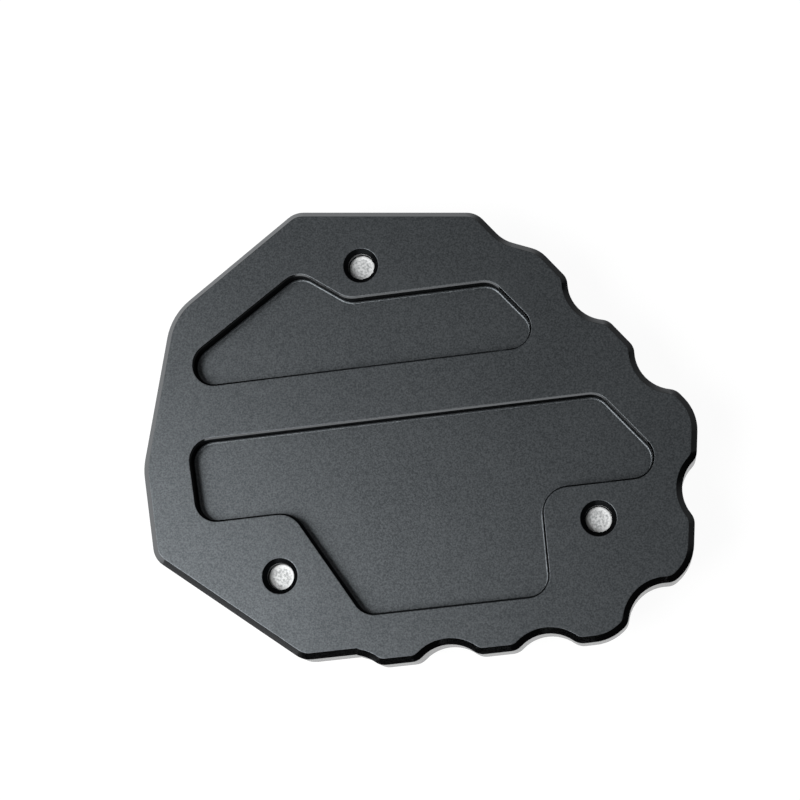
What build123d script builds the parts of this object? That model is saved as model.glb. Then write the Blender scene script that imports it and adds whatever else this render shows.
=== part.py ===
from build123d import *
import os
from math import sqrt

# Kickstand foot enlarger: a scalloped base plate, a horseshoe clamp plate and three screws.
# The stand's own foot lies in a cavity between the two plates, and its leg leaves through the
# clamp's slot. The part lies on its clamp plate, with the face that meets the ground turned up.

# Thicknesses of the two plates, clamp below and base above
clamp_thickness = 8.5
base_thickness = 9.0

# Length and width of the base plate. An inset is measured from the nearer end or side of the
# plate, and a size named x or y from its middle.
plate_length = 105.4
plate_width = 87.2

# Corners of the base plate's outline, clockwise from the top side's left end
top_left_x = -25.5
top_right_x = 10.0
step_root_x = 15.4
step_root_inset = 5.5
step_end_x = 22.5
step_end_inset = 7.5
right_upper_y = 4.9
right_lower_inset = 0.6
right_lower_y = -23.6
bottom_right_inset = 15.6
bottom_right_rise = 5.6
bottom_left_x = -16.6
bottom_left_drop = 1.7
left_lower_inset = 3.2
left_lower_y = -24.9
left_middle_y = -7.5
left_upper_inset = 3.7
left_upper_y = 22.8

# Rounding of those corners
small_corner_radius = 4.4
step_root_radius = 7.2
step_end_radius = 6.0
lobe_corner_radius = 8.8
left_corner_radius = 12.0

# Scallops along the right-hand sides
scallop_radius = 7.5
scallop_depth = 2.5
scallop_pitch = 18.5
scallop_start = 11.6
corner_scallop_start = 10.7
scallop_tip_radius = 3.0
set_back_room = 5.0

# Broken edges of the base plate
rim_chamfer = 1.1
back_chamfer = 0.6

# Two pockets in the ground face, in axes turned to their long edges
pocket_angle = 7.6
pocket_depth = 3.2
pocket_floor_radius = 0.4
pocket_edge_break = 0.3
pocket_corner_radius = 4.0
pocket_land_radius = 5.0

# Upper pocket: a long edge below, a short one above, and a peak beside the upper screw
upper_pocket_bottom = 14.15
upper_pocket_top_inset = 15.9
upper_pocket_left_inset = 1.55
upper_pocket_right = 27.65
upper_pocket_peak_x = -19.95
upper_pocket_peak_inset = 9.15
upper_pocket_top_start = -10.95
upper_pocket_top_end = 17.25

# Lower pocket: a long edge above, and a tongue that reaches down between the other two screws
lower_pocket_top = 3.55
lower_pocket_top_left_inset = 8.75
lower_pocket_top_right_inset = 17.8
lower_pocket_right_inset = 5.05
lower_pocket_right_bottom = -13.2
lower_pocket_left_inset = 9.65
lower_pocket_left_bottom = -12.2
tongue_bottom_inset = 10.55
tongue_top_left = -25.05
tongue_bottom_left = -13.2
tongue_top_right = 22.0
tongue_bottom_right = 21.7

# Cavity for the stand's own foot, and the slot for its leg
foot_length = 58.0
foot_width = 42.0
foot_corner_radius = 16.0
foot_centre_x = -3.0
foot_centre_y = -0.5
foot_recess_depth = 2.6
foot_step_depth = 3.0
leg_slot_width = 30.0
leg_slot_end_x = 4.0
leg_slot_mouth_radius = 3.0

# Clamp plate, set back from the straight sides of the outline
clamp_inset = 4.0
clamp_corner_radius = 6.0
clamp_edge_chamfer = 0.8

# Screws: M5 socket heads, sunk in the clamp and threaded into the base
upper_screw_x = -11.95
upper_screw_inset = 10.9
left_screw_x = -24.95
left_screw_inset = 15.95
right_screw_inset = 18.15
right_screw_y = -15.55
screw_radius = 2.5
screw_length = 10.0
screw_tip_chamfer = 0.2
head_radius = 4.25
head_height = 5.0
head_chamfer = 0.5
head_recess = 0.3
head_clearance = 0.5
socket_across_flats = 4.0
socket_depth = 2.5
shank_clearance = 0.25
thread_clearance = 0.05
countersink_width = 0.85
countersink_angle = 90

# Points and planes, worked out from the sizes above
left_end = -plate_length / 2
right_end = plate_length / 2
bottom_side = -plate_width / 2
top_side = plate_width / 2
top_left = Vector(top_left_x, top_side)
top_right = Vector(top_right_x, top_side)
step_root = Vector(step_root_x, top_side - step_root_inset)
step_end = Vector(step_end_x, top_side - step_end_inset)
right_upper = Vector(right_end, right_upper_y)
right_lower = Vector(right_end - right_lower_inset, right_lower_y)
bottom_right = Vector(right_end - bottom_right_inset, bottom_side + bottom_right_rise)
bottom_left = Vector(bottom_left_x, bottom_side - bottom_left_drop)
left_lower = Vector(left_end + left_lower_inset, left_lower_y)
left_middle = Vector(left_end, left_middle_y)
left_upper = Vector(left_end + left_upper_inset, left_upper_y)
foot_centre = Vector(foot_centre_x, foot_centre_y)
leg_slot_end = Vector(leg_slot_end_x, foot_centre_y)
screw_places = [
    Vector(upper_screw_x, top_side - upper_screw_inset),
    Vector(left_screw_x, bottom_side + left_screw_inset),
    Vector(right_end - right_screw_inset, right_screw_y),
]
lying_face = Plane.XY
head_face = lying_face.offset(head_recess)
head_seat = head_recess + head_height
seat_face = lying_face.offset(head_seat)
joint_face = lying_face.offset(clamp_thickness)
ground_face = joint_face.offset(base_thickness)
pocket_face = ground_face.rotated((0, 0, pocket_angle))

# Each scallop is a round cut whose centre stands outside the side that it cuts
cutter_height = scallop_radius - scallop_depth
half_chord = sqrt(scallop_radius**2 - cutter_height**2)


def side_point(corner, far_corner, distance):
    """A point on a side of the outline, at a distance from its first corner."""
    return corner + (far_corner - corner).normalized() * distance


def side_middle(corner, far_corner):
    """Half the length of a side."""
    return (far_corner - corner).length / 2


def scallop_centre(corner, far_corner, distance):
    """Centre of the round cut at a distance along a side, on the side away from the plate."""
    outward = (far_corner - corner).normalized().rotate(Axis.Z, 90)
    if outward.dot(corner) < 0:
        outward = -outward
    return side_point(corner, far_corner, distance) + outward * cutter_height


def scallop_row(corner, far_corner, end_room):
    """Distances of a side's scallops, as many as leave some room at its far end."""
    length = (far_corner - corner).length
    count = int((length - end_room - scallop_start) / scallop_pitch) + 1
    return [scallop_start + scallop_pitch * number for number in range(count)]


upper_row = scallop_row(right_upper, step_end, half_chord)
bottom_row = scallop_row(bottom_right, bottom_left, set_back_room)
scallop_centres = [
    *[scallop_centre(right_upper, step_end, distance) for distance in upper_row],
    scallop_centre(right_upper, right_lower, side_middle(right_upper, right_lower)),
    scallop_centre(right_lower, bottom_right, corner_scallop_start),
    *[scallop_centre(bottom_right, bottom_left, distance) for distance in bottom_row],
]

# The last scallop of the bottom side runs out into a stretch that is set back by its depth
set_back_start = side_point(bottom_right, bottom_left, bottom_row[-1])
set_back = Plane(set_back_start, x_dir=bottom_right - bottom_left)


# Base plate: the outline is cut with scallops, chamfered all round and pocketed on its ground face
outline_corners = [
    (top_left, small_corner_radius),
    (top_right, small_corner_radius),
    (step_root, step_root_radius),
    (step_end, step_end_radius),
    (right_upper, lobe_corner_radius),
    (right_lower, lobe_corner_radius),
    (bottom_right, lobe_corner_radius),
    (bottom_left, small_corner_radius),
    (left_lower, small_corner_radius),
    (left_middle, left_corner_radius),
    (left_upper, left_corner_radius),
]

with BuildPart() as base_plate:
    with BuildSketch(joint_face) as outline:
        with BuildLine():
            Polyline(*[corner for corner, radius in outline_corners], close=True)
        make_face()
        with Locations(set_back):
            Rectangle(
                (bottom_left - bottom_right).length,
                2 * scallop_depth,
                align=(Align.MAX, Align.CENTER),
                mode=Mode.SUBTRACT,
            )
        for corner, radius in outline_corners:
            fillet(outline.vertices().sort_by_distance(corner)[0], radius=radius)
        # The outline is cut while it is drawn in, and let out again, which rounds the scallops' tips
        offset(amount=-scallop_tip_radius, kind=Kind.INTERSECTION)
        with Locations(*scallop_centres):
            Circle(scallop_radius + scallop_tip_radius, mode=Mode.SUBTRACT)
        offset(amount=scallop_tip_radius, kind=Kind.ARC)
    extrude(amount=base_thickness)
    chamfer(base_plate.faces().sort_by(Axis.Z)[-1].outer_wire().edges(), length=rim_chamfer)
    chamfer(base_plate.faces().sort_by(Axis.Z)[0].outer_wire().edges(), length=back_chamfer)

    with BuildSketch(pocket_face) as pockets:
        with BuildLine():
            FilletPolyline(
                (left_end + upper_pocket_left_inset, upper_pocket_bottom),
                (upper_pocket_peak_x, top_side - upper_pocket_peak_inset),
                (upper_pocket_top_start, top_side - upper_pocket_top_inset),
                (upper_pocket_top_end, top_side - upper_pocket_top_inset),
                (upper_pocket_right, upper_pocket_bottom),
                radius=[
                    pocket_corner_radius,
                    pocket_corner_radius,
                    pocket_land_radius,
                    pocket_corner_radius,
                    pocket_corner_radius,
                ],
                close=True,
            )
        make_face()
        with BuildLine():
            FilletPolyline(
                (left_end + lower_pocket_top_left_inset, lower_pocket_top),
                (right_end - lower_pocket_top_right_inset, lower_pocket_top),
                (right_end - lower_pocket_right_inset, lower_pocket_right_bottom),
                (tongue_top_right, lower_pocket_right_bottom),
                (tongue_bottom_right, bottom_side + tongue_bottom_inset),
                (tongue_bottom_left, bottom_side + tongue_bottom_inset),
                (tongue_top_left, lower_pocket_left_bottom),
                (left_end + lower_pocket_left_inset, lower_pocket_left_bottom),
                radius=[
                    pocket_corner_radius,
                    pocket_corner_radius,
                    pocket_corner_radius,
                    pocket_land_radius,
                    pocket_corner_radius,
                    pocket_corner_radius,
                    pocket_land_radius,
                    pocket_corner_radius,
                ],
                close=True,
            )
        make_face()
    extrude(amount=-pocket_depth, mode=Mode.SUBTRACT)
    pocket_floors = base_plate.faces().filter_by(Axis.Z).group_by(Axis.Z)[-2]
    fillet(pocket_floors.edges(), radius=pocket_floor_radius)
    chamfer(base_plate.faces().sort_by(Axis.Z)[-1].inner_wires().edges(), length=pocket_edge_break)

    with BuildSketch(joint_face) as foot_recess:
        with Locations(foot_centre):
            RectangleRounded(foot_length, foot_width, foot_corner_radius)
    extrude(amount=foot_recess_depth, mode=Mode.SUBTRACT)

    with Locations(ground_face):
        with Locations(*screw_places):
            CounterSinkHole(
                screw_radius + thread_clearance,
                screw_radius + thread_clearance + countersink_width,
                counter_sink_angle=countersink_angle,
            )
base_plate.part.label = "base_plate"


# Clamp plate: a horseshoe whose slot takes the stand's leg and whose step holds the foot's rim
slant_rise = step_end_inset / (step_end.Y - right_upper_y)
slant_end = step_end + (step_end - right_upper) * slant_rise
clamp_corners = [
    top_left,
    slant_end,
    right_upper,
    right_lower,
    bottom_right,
    bottom_left,
    left_lower,
    left_middle,
    left_upper,
]

with BuildPart() as clamp_plate:
    with BuildSketch(lying_face) as horseshoe:
        with BuildLine():
            Polyline(*clamp_corners, close=True)
        make_face()
        offset(amount=-clamp_inset, kind=Kind.INTERSECTION)
        fillet(horseshoe.vertices(), radius=clamp_corner_radius)
        # The slot is cut in the same way as the scallops, which rounds both sides of its mouth
        offset(amount=-leg_slot_mouth_radius, kind=Kind.INTERSECTION)
        with Locations(leg_slot_end):
            Circle(leg_slot_width / 2 + leg_slot_mouth_radius, mode=Mode.SUBTRACT)
            Rectangle(
                leg_slot_end_x - left_end,
                leg_slot_width + 2 * leg_slot_mouth_radius,
                align=(Align.MAX, Align.CENTER),
                mode=Mode.SUBTRACT,
            )
        offset(amount=leg_slot_mouth_radius, kind=Kind.ARC)
    extrude(amount=clamp_thickness)
    chamfer(clamp_plate.faces().sort_by(Axis.Z)[0].outer_wire().edges(), length=clamp_edge_chamfer)

    with BuildSketch(joint_face) as foot_step:
        with Locations(foot_centre):
            RectangleRounded(foot_length, foot_width, foot_corner_radius)
    extrude(amount=-foot_step_depth, mode=Mode.SUBTRACT)

    with Locations(lying_face.rotated((180, 0, 0))):
        with Locations(*[Vector(place.X, -place.Y) for place in screw_places]):
            CounterBoreHole(
                screw_radius + shank_clearance,
                head_radius + head_clearance,
                head_seat,
            )
clamp_plate.part.label = "clamp_plate"


# Clamp screws: three alike, heads down in the clamp's counterbores, tips short of the ground face
with BuildPart() as clamp_screws:
    with BuildSketch(head_face):
        with Locations(*screw_places):
            Circle(head_radius)
    extrude(amount=head_height)
    chamfer(clamp_screws.edges().group_by(Axis.Z)[0], length=head_chamfer)
    with BuildSketch(seat_face):
        with Locations(*screw_places):
            Circle(screw_radius)
    extrude(amount=screw_length)
    chamfer(clamp_screws.edges().group_by(Axis.Z)[-1], length=screw_tip_chamfer)
    with BuildSketch(head_face):
        with Locations(*screw_places):
            RegularPolygon(socket_across_flats / 2, 6, major_radius=False)
    extrude(amount=socket_depth, mode=Mode.SUBTRACT)
clamp_screws.part.label = "clamp_screws"


os.makedirs("parts", exist_ok=True)
export_step(base_plate.part, "parts/base_plate.step")
export_step(clamp_plate.part, "parts/clamp_plate.step")
export_step(clamp_screws.part, "parts/clamp_screws.step")
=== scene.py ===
from math import cos, pi, radians, sin, tan

import bpy
from mathutils import Matrix, Vector


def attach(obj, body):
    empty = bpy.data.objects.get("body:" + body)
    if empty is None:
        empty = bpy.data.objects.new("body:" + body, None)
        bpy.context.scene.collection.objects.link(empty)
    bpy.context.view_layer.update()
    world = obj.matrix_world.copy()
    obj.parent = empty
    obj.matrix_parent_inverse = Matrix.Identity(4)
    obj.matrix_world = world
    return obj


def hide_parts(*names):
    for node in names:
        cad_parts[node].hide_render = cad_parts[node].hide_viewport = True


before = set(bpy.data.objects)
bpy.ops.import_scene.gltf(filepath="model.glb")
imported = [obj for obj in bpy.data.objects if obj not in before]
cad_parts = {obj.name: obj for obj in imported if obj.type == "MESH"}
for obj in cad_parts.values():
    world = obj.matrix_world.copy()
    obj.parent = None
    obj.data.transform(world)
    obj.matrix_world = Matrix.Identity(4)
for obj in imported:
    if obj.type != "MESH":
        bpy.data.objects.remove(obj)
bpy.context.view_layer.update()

# Kickstand foot enlarger, lying on its clamp plate with the face that meets the ground turned up.


# Base plate: milled from a thick aluminium plate, with a scalloped rim and two shallow pockets.
# It is bead-blasted, its edges are cut bright afterwards, and then it is anodised black.
MM = 0.001


def linear(hex_colour):
    """The linear colour of an sRGB hex value."""
    channels = [int(hex_colour[place:place + 2], 16) / 255 for place in (1, 3, 5)]
    return [c / 12.92 if c <= 0.04045 else ((c + 0.055) / 1.055) ** 2.4 for c in channels] + [1.0]


def add_node(tree, kind, settings=None, links=None):
    """Adds a node, gives its sockets and properties their values, and links outputs to its sockets."""
    node = tree.nodes.new(kind)
    for name, value in (settings or {}).items():
        if isinstance(name, int) or name in node.inputs:
            node.inputs[name].default_value = value
        else:
            setattr(node, name, value)
    for name, output in (links or {}).items():
        tree.links.new(output, node.inputs[name])
    return node


# Black anodised aluminium: softly shiny and finely grained where it is blasted, a deep, sharp black on
# the cut edges and a plain black on the milled walls. The dyed layer is partly dull, so it isn't all
# metal to the eye. Blasting grit is near 0.2 mm and is drawn at 0.32 mm, so that it shows.
blasted_colour = "#424649"
blasted_pale_colour = "#666a6d"
cut_colour = "#6a6c6e"
milled_colour = "#26282a"
open_tint = "#ffffff"
# Painted shade: this dark tint darkens the reflections on the walls of the pockets and countersinks.
painted_shade_tint = "#3a3a3a"
metal_share = 0.84
blasted_roughness = 0.39
roughness_spread = 0.05
cut_roughness = 0.1
milled_roughness = 0.25
grit_size = 0.32 * MM
grit_depth = 0.03 * MM
grit_range = (0.34, 0.66)
grit_share = 0.7
blasted_bump = 0.6
cut_bump = 0.05
stain_size = 18 * MM
stain_share = 0.3
edge_radius = 0.25 * MM
edge_samples = 16

# Where the finishes lie. The field is an eight-sided area that holds the pockets, given by how far its
# sides are from the middle, in mm, each turned 45 degrees from the one before.
chamfer_slack = (0.06, 0.14)
side_lean = (0.25, 0.35)
field_turn = 4
field_reach = [47, 34, 35, 45, 46, 41.5, 36.5, 40]
pocket_low = 14 * MM
pocket_edge = 17.1 * MM
screw_places = [(-11.95, 32.7), (-24.95, -27.65), (34.55, -15.55)]
countersink_radius = 3.45 * MM

anodised = bpy.data.materials.new("bead_blasted_black_anodised_aluminium")
anodised.use_nodes = True
tree = anodised.node_tree
tree.nodes.clear()
place = add_node(tree, "ShaderNodeTexCoord")
grit = add_node(
    tree, "ShaderNodeTexNoise",
    {"Scale": 1 / grit_size, "Detail": 2.0, "Roughness": 0.6},
    {"Vector": place.outputs["Object"]},
)
stain = add_node(
    tree, "ShaderNodeTexNoise",
    {"Scale": 1 / stain_size, "Detail": 3.0, "Roughness": 0.55},
    {"Vector": place.outputs["Object"]},
)

# Which finish a spot has: cut on the 45 degree chamfers of the rim and of the pockets' edges, milled on
# upright sides and in the countersinks, and blasted elsewhere. The rim is what lies outside the field,
# or lower than the pockets reach.
normal_parts = add_node(tree, "ShaderNodeSeparateXYZ", links={"Vector": place.outputs["Normal"]})
upright = add_node(tree, "ShaderNodeMath", {"operation": "ABSOLUTE"}, {0: normal_parts.outputs["Z"]})
off_chamfer = add_node(
    tree, "ShaderNodeMath", {"operation": "SUBTRACT", 1: cos(radians(45))}, {0: upright.outputs[0]},
)
lean = add_node(tree, "ShaderNodeMath", {"operation": "ABSOLUTE"}, {0: off_chamfer.outputs[0]})
chamfer = add_node(
    tree, "ShaderNodeMapRange",
    {"From Min": chamfer_slack[0], "From Max": chamfer_slack[1], "To Min": 1.0, "To Max": 0.0},
    {"Value": lean.outputs[0]},
)
side = add_node(
    tree, "ShaderNodeMapRange",
    {"From Min": side_lean[0], "From Max": side_lean[1], "To Min": 1.0, "To Max": 0.0},
    {"Value": upright.outputs[0]},
)
heights = add_node(tree, "ShaderNodeSeparateXYZ", links={"Vector": place.outputs["Object"]})
rim = add_node(tree, "ShaderNodeMath", {"operation": "LESS_THAN", 1: pocket_low}, {0: heights.outputs["Z"]})
for number, reach in enumerate(field_reach):
    facing = radians(field_turn + 45 * number)
    outward = add_node(
        tree, "ShaderNodeVectorMath", {"operation": "DOT_PRODUCT", 1: (cos(facing), sin(facing), 0)},
        {0: place.outputs["Object"]},
    )
    beyond = add_node(
        tree, "ShaderNodeMath", {"operation": "GREATER_THAN", 1: reach * MM}, {0: outward.outputs["Value"]},
    )
    rim = add_node(
        tree, "ShaderNodeMath", {"operation": "MAXIMUM"}, {0: rim.outputs[0], 1: beyond.outputs[0]},
    )
high = add_node(
    tree, "ShaderNodeMath", {"operation": "GREATER_THAN", 1: pocket_edge}, {0: heights.outputs["Z"]},
)
trimmed = add_node(
    tree, "ShaderNodeMath", {"operation": "MAXIMUM"}, {0: rim.outputs[0], 1: high.outputs[0]},
)
flat_place = add_node(
    tree, "ShaderNodeVectorMath", {"operation": "MULTIPLY", 1: (1, 1, 0)}, {0: place.outputs["Object"]},
)
from_screws = [
    add_node(
        tree, "ShaderNodeVectorMath", {"operation": "DISTANCE", 1: (x * MM, y * MM, 0)},
        {0: flat_place.outputs[0]},
    ).outputs["Value"]
    for x, y in screw_places
]
nearest = from_screws[0]
for from_screw in from_screws[1:]:
    nearer = add_node(tree, "ShaderNodeMath", {"operation": "MINIMUM"}, {0: nearest, 1: from_screw})
    nearest = nearer.outputs[0]
screw_hole = add_node(
    tree, "ShaderNodeMath", {"operation": "LESS_THAN", 1: countersink_radius}, {0: nearest},
)
off_screws = add_node(
    tree, "ShaderNodeMath", {"operation": "SUBTRACT", "use_clamp": True},
    {0: trimmed.outputs[0], 1: screw_hole.outputs[0]},
)
cut = add_node(
    tree, "ShaderNodeMath", {"operation": "MULTIPLY"}, {0: chamfer.outputs[0], 1: off_screws.outputs[0]},
)
sunk = add_node(
    tree, "ShaderNodeMath", {"operation": "MULTIPLY"}, {0: chamfer.outputs[0], 1: screw_hole.outputs[0]},
)
milled = add_node(
    tree, "ShaderNodeMath", {"operation": "MAXIMUM"}, {0: side.outputs[0], 1: sunk.outputs[0]},
)

# Painted shade: the reflections on the facing walls of the pockets and countersinks are tinted dark, so
# they stay dark even at a glancing look.
outside_pockets = add_node(
    tree, "ShaderNodeMath", {"operation": "MAXIMUM"}, {0: rim.outputs[0], 1: screw_hole.outputs[0]},
)
pocket_wall = add_node(
    tree, "ShaderNodeMath", {"operation": "SUBTRACT", "use_clamp": True},
    {0: side.outputs[0], 1: outside_pockets.outputs[0]},
)
painted_shade_walls = add_node(
    tree, "ShaderNodeMath", {"operation": "MAXIMUM"}, {0: pocket_wall.outputs[0], 1: sunk.outputs[0]},
)
painted_wall_shade = add_node(
    tree, "ShaderNodeMix", {"data_type": "RGBA", 6: linear(open_tint), 7: linear(painted_shade_tint)},
    {0: painted_shade_walls.outputs[0]},
)

speckle = add_node(
    tree, "ShaderNodeMapRange",
    {"From Min": grit_range[0], "From Max": grit_range[1], "To Max": grit_share},
    {"Value": grit.outputs["Fac"]},
)
blotch = add_node(
    tree, "ShaderNodeMath", {"operation": "MULTIPLY_ADD", 1: stain_share},
    {0: stain.outputs["Fac"], 2: speckle.outputs[0]},
)
blasted_tone = add_node(
    tree, "ShaderNodeMix",
    {"data_type": "RGBA", 6: linear(blasted_colour), 7: linear(blasted_pale_colour)},
    {0: blotch.outputs[0]},
)
milled_tone = add_node(
    tree, "ShaderNodeMix", {"data_type": "RGBA", 7: linear(milled_colour)},
    {0: milled.outputs[0], 6: blasted_tone.outputs[2]},
)
tone = add_node(
    tree, "ShaderNodeMix", {"data_type": "RGBA", 7: linear(cut_colour)},
    {0: cut.outputs[0], 6: milled_tone.outputs[2]},
)
blasted_gloss = add_node(
    tree, "ShaderNodeMapRange",
    {"To Min": blasted_roughness - roughness_spread, "To Max": blasted_roughness + roughness_spread},
    {"Value": grit.outputs["Fac"]},
)
milled_gloss = add_node(
    tree, "ShaderNodeMix", {"data_type": "FLOAT", 3: milled_roughness},
    {0: milled.outputs[0], 2: blasted_gloss.outputs[0]},
)
gloss = add_node(
    tree, "ShaderNodeMix", {"data_type": "FLOAT", 3: cut_roughness},
    {0: cut.outputs[0], 2: milled_gloss.outputs[0]},
)

# Edges that weren't cut are a little rounded by the blasting.
worn_edge = add_node(tree, "ShaderNodeBevel", {"samples": edge_samples, "Radius": edge_radius})
true_shape = add_node(tree, "ShaderNodeNewGeometry")
worn = add_node(
    tree, "ShaderNodeMath", {"operation": "SUBTRACT"}, {0: trimmed.outputs[0], 1: cut.outputs[0]},
)
edge = add_node(
    tree, "ShaderNodeMix", {"data_type": "VECTOR"},
    {0: worn.outputs[0], 4: true_shape.outputs["Normal"], 5: worn_edge.outputs[0]},
)
blasting = add_node(
    tree, "ShaderNodeMapRange", {"To Min": blasted_bump, "To Max": cut_bump}, {"Value": cut.outputs[0]},
)
grain = add_node(
    tree, "ShaderNodeBump", {"Distance": grit_depth},
    {"Strength": blasting.outputs[0], "Height": grit.outputs["Fac"], "Normal": edge.outputs[1]},
)
bare = add_node(
    tree, "ShaderNodeMapRange", {"To Min": metal_share, "To Max": 1.0}, {"Value": cut.outputs[0]},
)
surface = add_node(
    tree, "ShaderNodeBsdfPrincipled",
    links={
        "Base Color": tone.outputs[2],
        "Metallic": bare.outputs[0],
        "Roughness": gloss.outputs[0],
        # The specular tint carries the painted shade on the pockets' and countersinks' walls.
        "Specular Tint": painted_wall_shade.outputs[2],
        "Normal": grain.outputs[0],
    },
)
add_node(tree, "ShaderNodeOutputMaterial", links={"Surface": surface.outputs[0]})

base_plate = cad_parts["base_plate"]
base_plate.material_slots[0].material = anodised


# Clamp plate: a horseshoe of the same aluminium under the base, finished in the same way.
# The stand's foot lies between the two plates, and its leg leaves through the slot.
clamp_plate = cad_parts["clamp_plate"]
clamp_plate.material_slots[0].material = anodised


# Clamp screws: three M5 socket head screws of zinc-plated steel, turned and rolled. Their heads sit
# in the clamp plate's counterbores, and their cropped tips end just below the ground face. Sizes are
# in mm, with heights from the head's outer face.
screw_turns = [0, 130, 250]
segments = 160
knurl_ribs = 40
knurl_depth = 0.1
knurl_heights = (0.75, 1.6, 2.5, 3.4, 4.3)
head_radius = 4.25
head_height = 5.0
head_rounding = 0.5
head_rounding_steps = 6
head_break_width = 0.25
head_break_height = 0.35
socket_mouth_radius = 2.45
socket_mouth_slope = radians(30)
socket_apothem = 2.0
socket_depth = 2.5
socket_point = 0.4
neck_fillet = 0.2
thread_radius = 2.5
thread_pitch = 0.8
thread_depth = 0.45
thread_flank = 1.25
thread_start = 5.8
thread_run_out = 0.5
rings_per_turn = 8
screw_end = 15.0
tip_radius = 2.48
tip_length = 0.35
tip_rounding = 0.12
tip_rounding_steps = 4
tip_rim = 0.4
tip_hollow = 0.06
middle_share = 0.02
hollow_shares = (0.9, 0.6, 0.3, middle_share)
sharp_angle = radians(35)
head_lift = 0.3


def hexagon(angle):
    """Distance from the axis to the socket's wall."""
    return socket_apothem / cos((angle + pi / 6) % (pi / 3) - pi / 6)


def knurl(angle):
    """How far the head's straight knurl cuts in."""
    return knurl_depth * (0.5 - 0.5 * cos(knurl_ribs * angle))


def thread_cut(angle, height):
    """Depth of the rolled thread, which runs out towards the head."""
    turn = (height / thread_pitch - angle / (2 * pi)) % 1.0
    groove = min(1.0, thread_flank * (1 - abs(2 * turn - 1)))
    run_in = max(0.0, min(1.0, (height - thread_start) / thread_pitch))
    return thread_depth * groove * run_in


# The screw is a skin over rings of (radius, height), from the bottom of the socket out over the head
# and down the thread to the middle of the tip.
angles = [2 * pi * number / segments for number in range(segments)]
rings = []
rings.append([(hexagon(a) * middle_share, socket_depth + socket_point) for a in angles])
rings.append([(hexagon(a), socket_depth) for a in angles])
rings.append([(hexagon(a), (socket_mouth_radius - hexagon(a)) * tan(socket_mouth_slope)) for a in angles])
rings.append([(socket_mouth_radius, 0.0) for a in angles])
for step in range(head_rounding_steps + 1):
    swing = pi / 2 * step / head_rounding_steps
    radius = head_radius - knurl_depth - head_rounding * (1 - sin(swing))
    rings.append([(radius, head_rounding * (1 - cos(swing))) for a in angles])
for height in knurl_heights:
    rings.append([(head_radius - knurl(a), height) for a in angles])
rings.append([(head_radius - knurl_depth, head_height - head_break_height) for a in angles])
rings.append([(head_radius - knurl_depth - head_break_width, head_height) for a in angles])
rings.append([(thread_radius + neck_fillet, head_height) for a in angles])
rings.append([(thread_radius, head_height + neck_fillet) for a in angles])
thread_rings = int((screw_end - thread_run_out - thread_start) / thread_pitch * rings_per_turn)
for step in range(thread_rings + 1):
    height = thread_start + step * thread_pitch / rings_per_turn
    rings.append([(thread_radius - thread_cut(a, height), height) for a in angles])
rings.append([(tip_radius, screw_end - tip_length) for a in angles])
for step in range(tip_rounding_steps + 1):
    swing = pi / 2 * step / tip_rounding_steps
    radius = tip_radius - tip_rounding * (1 - cos(swing))
    rings.append([(radius, screw_end - tip_rounding * (1 - sin(swing))) for a in angles])
rings.append([(tip_radius - tip_rim, screw_end) for a in angles])
for share in hollow_shares:
    rings.append([((tip_radius - tip_rim) * share, screw_end - tip_hollow) for a in angles])

points = [
    (radius * MM * cos(a), radius * MM * sin(a), height * MM)
    for ring in rings for a, (radius, height) in zip(angles, ring)
]
faces = []
for row in range(len(rings) - 1):
    first, second = row * segments, (row + 1) * segments
    for number in range(segments):
        beside = (number + 1) % segments
        faces.append((first + number, second + number, second + beside, first + beside))
faces.append(tuple(range(segments)))
faces.append(tuple(reversed(range(len(points) - segments, len(points)))))
screw_mesh = bpy.data.meshes.new("clamp_screw")
screw_mesh.from_pydata(points, [], faces)
screw_mesh.polygons.foreach_set("use_smooth", [True] * len(screw_mesh.polygons))
screw_mesh.set_sharp_from_angle(angle=sharp_angle)

# Zinc-plated steel: bright, a little cold and almost matt, with the torn, speckled grain of a cropped
# end inside a clean rim.
zinc_colour = "#edeeee"
speck_colour = "#a4a7a8"
zinc_roughness = 0.72
zinc_roughness_spread = 0.1
speck_size = 0.45 * MM
speck_range = (0.42, 0.74)
clean_rim = (1.7 * MM, 2.0 * MM)
clean_rim_share = 0.15
tear_depth = 0.05 * MM
tear_bump = 0.5

zinc = bpy.data.materials.new("zinc_plated_steel")
zinc.use_nodes = True
tree = zinc.node_tree
tree.nodes.clear()
place = add_node(tree, "ShaderNodeTexCoord")
torn = add_node(
    tree, "ShaderNodeTexNoise",
    {"Scale": 1 / speck_size, "Detail": 3.0, "Roughness": 0.65},
    {"Vector": place.outputs["Object"]},
)
specks = add_node(
    tree, "ShaderNodeMapRange", {"From Min": speck_range[0], "From Max": speck_range[1]},
    {"Value": torn.outputs["Fac"]},
)
flat_place = add_node(
    tree, "ShaderNodeVectorMath", {"operation": "MULTIPLY", 1: (1, 1, 0)}, {0: place.outputs["Object"]},
)
from_axis = add_node(tree, "ShaderNodeVectorMath", {"operation": "LENGTH"}, {0: flat_place.outputs[0]})
inside_rim = add_node(
    tree, "ShaderNodeMapRange",
    {"From Min": clean_rim[0], "From Max": clean_rim[1], "To Min": 1.0, "To Max": clean_rim_share},
    {"Value": from_axis.outputs["Value"]},
)
marks = add_node(
    tree, "ShaderNodeMath", {"operation": "MULTIPLY"}, {0: specks.outputs[0], 1: inside_rim.outputs[0]},
)
tone = add_node(
    tree, "ShaderNodeMix",
    {"data_type": "RGBA", 6: linear(zinc_colour), 7: linear(speck_colour)},
    {0: marks.outputs[0]},
)
gloss = add_node(
    tree, "ShaderNodeMapRange",
    {"To Min": zinc_roughness - zinc_roughness_spread, "To Max": zinc_roughness + zinc_roughness_spread},
    {"Value": torn.outputs["Fac"]},
)
tearing = add_node(
    tree, "ShaderNodeMath", {"operation": "MULTIPLY", 1: tear_bump}, {0: inside_rim.outputs[0]},
)
grain = add_node(
    tree, "ShaderNodeBump", {"Distance": tear_depth},
    {"Strength": tearing.outputs[0], "Height": torn.outputs["Fac"]},
)
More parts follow.
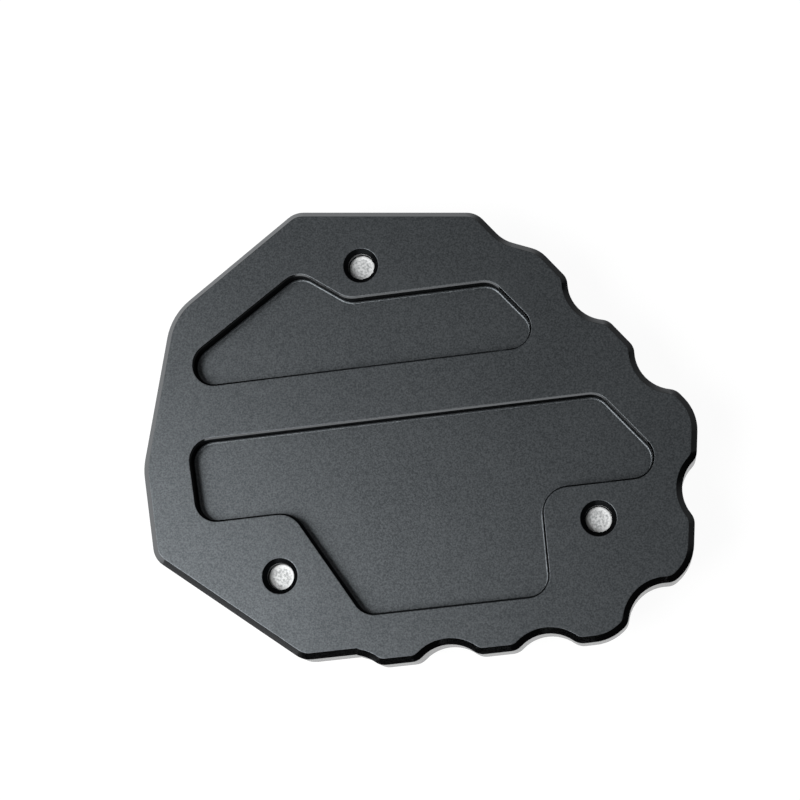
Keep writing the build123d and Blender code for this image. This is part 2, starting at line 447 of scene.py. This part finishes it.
surface = add_node(
    tree, "ShaderNodeBsdfPrincipled", {"Metallic": 1.0},
    {"Base Color": tone.outputs[2], "Roughness": gloss.outputs[0], "Normal": grain.outputs[0]},
)
add_node(tree, "ShaderNodeOutputMaterial", links={"Surface": surface.outputs[0]})
screw_mesh.materials.append(zinc)

for number, ((x, y), turned) in enumerate(zip(screw_places, screw_turns), start=1):
    screw = bpy.data.objects.new(f"clamp_screw_{number}", screw_mesh)
    bpy.context.collection.objects.link(screw)
    screw.matrix_world = Matrix.Translation((x * MM, y * MM, head_lift * MM)) @ Matrix.Rotation(
        radians(turned), 4, "Z"
    )
    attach(screw, "root")
    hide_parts("clamp_screws")


# Floor: a wide sheet of matt white paper that the part lies on. It is evenly lit, so that it shows
# white, with only a soft shadow beside the part.
floor_half = 4.0
floor_mesh = bpy.data.meshes.new("paper_sweep")
floor_mesh.from_pydata(
    [(-floor_half, -floor_half, 0), (floor_half, -floor_half, 0), (floor_half, floor_half, 0),
     (-floor_half, floor_half, 0)],
    [], [(0, 1, 2, 3)],
)
floor = bpy.data.objects.new("paper_sweep", floor_mesh)
bpy.context.collection.objects.link(floor)

# Matt paper: the glow that makes it white is seen by the eye, and in reflections only in a pool around
# the part. What the lamps add on top of it leaves the part's shadow.
paper_colour = "#606060"
paper_glow = 0.95
pool_centre = (-0.1, -0.095, 0)
pool_radius = 0.185
pool_end = 0.28
pool_far = 0.06

paper = bpy.data.materials.new("matt_white_paper")
paper.use_nodes = True
tree = paper.node_tree
tree.nodes.clear()
ray = add_node(tree, "ShaderNodeLightPath")
place = add_node(tree, "ShaderNodeTexCoord")
from_pool = add_node(
    tree, "ShaderNodeVectorMath", {"operation": "DISTANCE", 1: pool_centre}, {0: place.outputs["Object"]},
)
pool = add_node(
    tree, "ShaderNodeMapRange",
    {"interpolation_type": "SMOOTHSTEP", "From Min": pool_radius, "From Max": pool_end,
     "To Min": 1.0, "To Max": pool_far},
    {"Value": from_pool.outputs["Value"]},
)
mirrored = add_node(
    tree, "ShaderNodeMath", {"operation": "MAXIMUM"},
    {0: ray.outputs["Is Glossy Ray"], 1: ray.outputs["Is Transmission Ray"]},
)
mirrored_pool = add_node(
    tree, "ShaderNodeMath", {"operation": "MULTIPLY"}, {0: mirrored.outputs[0], 1: pool.outputs[0]},
)
shown = add_node(
    tree, "ShaderNodeMath", {"operation": "MAXIMUM"},
    {0: ray.outputs["Is Camera Ray"], 1: mirrored_pool.outputs[0]},
)
glow_share = add_node(
    tree, "ShaderNodeMath", {"operation": "MULTIPLY", 1: paper_glow}, {0: shown.outputs[0]},
)
glow = add_node(tree, "ShaderNodeEmission", links={"Strength": glow_share.outputs[0]})
sheet = add_node(tree, "ShaderNodeBsdfDiffuse", {"Color": linear(paper_colour)})
both = add_node(tree, "ShaderNodeAddShader", links={0: glow.outputs[0], 1: sheet.outputs[0]})
add_node(tree, "ShaderNodeOutputMaterial", links={"Surface": both.outputs[0]})
floor_mesh.materials.append(paper)


# Light: a small studio, with three lights. A soft square lamp above on the left gives the shadows and
# the way the face darkens to the right.
lamp_place = Vector((-0.275, -0.15, 0.43))
lamp_size = 0.36
lamp_power = 2.95

lamp = bpy.data.lights.new("soft_lamp", "AREA")
lamp.shape = "SQUARE"
lamp.size = lamp_size
lamp.energy = lamp_power
soft_lamp = bpy.data.objects.new("soft_lamp", lamp)
bpy.context.collection.objects.link(soft_lamp)
soft_lamp.location = lamp_place
soft_lamp.rotation_euler = (-lamp_place).to_track_quat("-Z", "Y").to_euler()
soft_lamp.visible_camera = False

# A long strip of light, low in front, that draws the pockets' upper edges.
strip_turn = radians(247)
strip_distance = 1.2
strip_height = 0.30
strip_length = 1.6
strip_width = 0.2
strip_power = 1.0

strip = bpy.data.lights.new("low_strip", "AREA")
strip.shape = "RECTANGLE"
strip.size = strip_length
strip.size_y = strip_width
strip.energy = strip_power
low_strip = bpy.data.objects.new("low_strip", strip)
bpy.context.collection.objects.link(low_strip)
low_strip.location = (strip_distance * cos(strip_turn), strip_distance * sin(strip_turn), strip_height)
low_strip.rotation_euler = (-low_strip.location).to_track_quat("-Z", "Y").to_euler()
low_strip.visible_camera = False

# A dim room around, darkest near the floor and lightest overhead.
room_low = 0.01
room_high = 0.17
room_low_end = 0.15
room_high_start = 0.7

room = bpy.data.worlds.new("dim_room")
room.use_nodes = True
bpy.context.scene.world = room
tree = room.node_tree
tree.nodes.clear()
toward = add_node(tree, "ShaderNodeTexCoord")
toward_parts = add_node(tree, "ShaderNodeSeparateXYZ", links={"Vector": toward.outputs["Generated"]})
room_light = add_node(
    tree, "ShaderNodeMapRange",
    {"From Min": room_low_end, "From Max": room_high_start, "To Min": room_low, "To Max": room_high},
    {"Value": toward_parts.outputs["Z"]},
)
sky = add_node(tree, "ShaderNodeBackground", links={"Strength": room_light.outputs[0]})
add_node(tree, "ShaderNodeOutputWorld", links={"Surface": sky.outputs[0]})


# Camera: a long lens almost straight above, a little to the lower right, as the part was photographed.
# The small roll is the photograph's own.
camera_place = Vector((43.76, -65.29, 387.7)) * MM
camera_aim = Vector((-3.365, 6.342, 17.5)) * MM
camera_roll = radians(2.05)

lens = bpy.data.cameras.new("camera")
lens.sensor_width = 36
lens.lens = 90
lens.clip_start = 0.01
camera = bpy.data.objects.new("camera", lens)
bpy.context.collection.objects.link(camera)
forward = (camera_aim - camera_place).normalized()
across = forward.cross(Vector((0, 1, 0))).normalized()
turn = Matrix((across, across.cross(forward), -forward)).transposed().to_4x4()
camera.matrix_world = Matrix.Translation(camera_place) @ turn @ Matrix.Rotation(camera_roll, 4, "Z")
bpy.context.scene.camera = camera

bpy.context.scene.view_settings.view_transform = "Standard"
